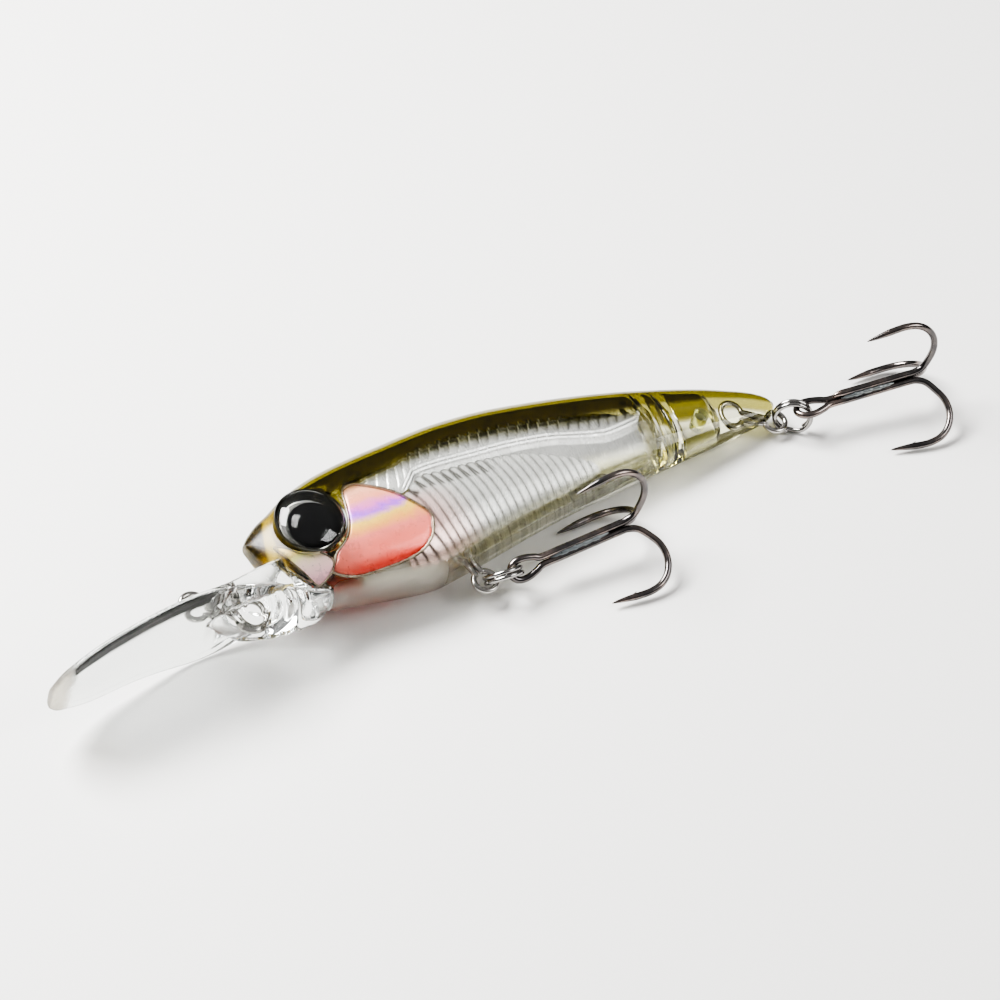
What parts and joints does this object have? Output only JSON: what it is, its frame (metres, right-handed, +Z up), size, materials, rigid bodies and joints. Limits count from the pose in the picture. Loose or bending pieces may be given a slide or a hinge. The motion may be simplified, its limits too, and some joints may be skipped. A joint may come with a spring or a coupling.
{
  "type": "crankbait lure",
  "caption": "Slim deep-diving fishing lure with a clear spoon lip, see-through tinted body over bright ribbed inserts, domed eyes and treble hooks hung on split rings, lying on its right side.",
  "frame": {"origin": "centre of the bounding box, on the surface the lure lies on", "axes": "+Z up from that surface, +X from the lip towards the tail hook, +Y towards the lure's back; the lure lies on its right side, rolled 17 degrees and pitched 5.5 degrees"},
  "size_m": [0.1048, 0.026, 0.013],
  "materials": {
    "shell": "clear moulded plastic tinted olive along the back and yellow along the belly, polished",
    "lip": "clear moulded plastic, scuffed and frosted along its front edge",
    "wire": "bright drawn stainless wire",
    "hook": "dark nickel plate, glossy, duller at the brazed shank",
    "silver_plate": "bright silver foil embossed with ribs",
    "pink_foil": "iridescent pink and gold foil",
    "pale_foil": "pale iridescent foil",
    "iris": "silver foil disc with fine rings",
    "pupil": "black, domed, glossy",
    "lens": "clear domed resin, glossy",
    "ballast": "cast weight, matte grey"
  },
  "bodies": {
    "lure_body": {"left_shell": "shell", "right_shell": "shell", "diving_lip": "lip", "line_tie_wire": "wire", "belly_hanger_wire": "wire", "tail_hanger_wire": "wire", "keel_weight": "ballast", "left_eye_iris": "iris", "left_eye_pupil": "pupil", "left_eye_lens": "lens", "left_gill_plate": "pink_foil", "left_jaw_plate": "pale_foil", "left_spine_plate": "silver_plate", "left_rib_plate": "silver_plate", "right_eye_iris": "iris", "right_eye_pupil": "pupil", "right_eye_lens": "lens", "right_gill_plate": "pink_foil", "right_jaw_plate": "pale_foil", "right_spine_plate": "silver_plate", "right_rib_plate": "silver_plate"},
    "belly_ring": {"belly_split_ring": "wire"},
    "belly_treble": {"belly_treble_double": "hook", "belly_treble_third": "hook"},
    "tail_ring": {"tail_split_ring": "wire"},
    "tail_treble": {"tail_treble_double": "hook", "tail_treble_third": "hook"}
  },
  "joints": [
    {"name": "belly_ring_swing", "type": "hinge", "parent": "lure_body", "child": "belly_ring", "pos_m": [-0.00512, -0.00518, 0.00263], "axis": [0.0917, -0.2924, 0.9519], "range_deg": [-140, 2]},
    {"name": "belly_hook_swing", "type": "hinge", "parent": "belly_ring", "child": "belly_treble", "pos_m": [-0.0033, -0.00568, 0.00306], "axis": [0.0273, 0.7054, 0.7082], "range_deg": [-80, 25]},
    {"name": "tail_ring_swing", "type": "hinge", "parent": "lure_body", "child": "tail_ring", "pos_m": [0.03396, 0.00367, 0.00159], "axis": [0.0917, -0.2924, 0.9519], "range_deg": [-110, 20]},
    {"name": "tail_hook_swing", "type": "hinge", "parent": "tail_ring", "child": "tail_treble", "pos_m": [0.03566, 0.00279, 0.00228], "axis": [0.4602, 0.8878, 0], "range_deg": [-80, 80]}
  ]
}
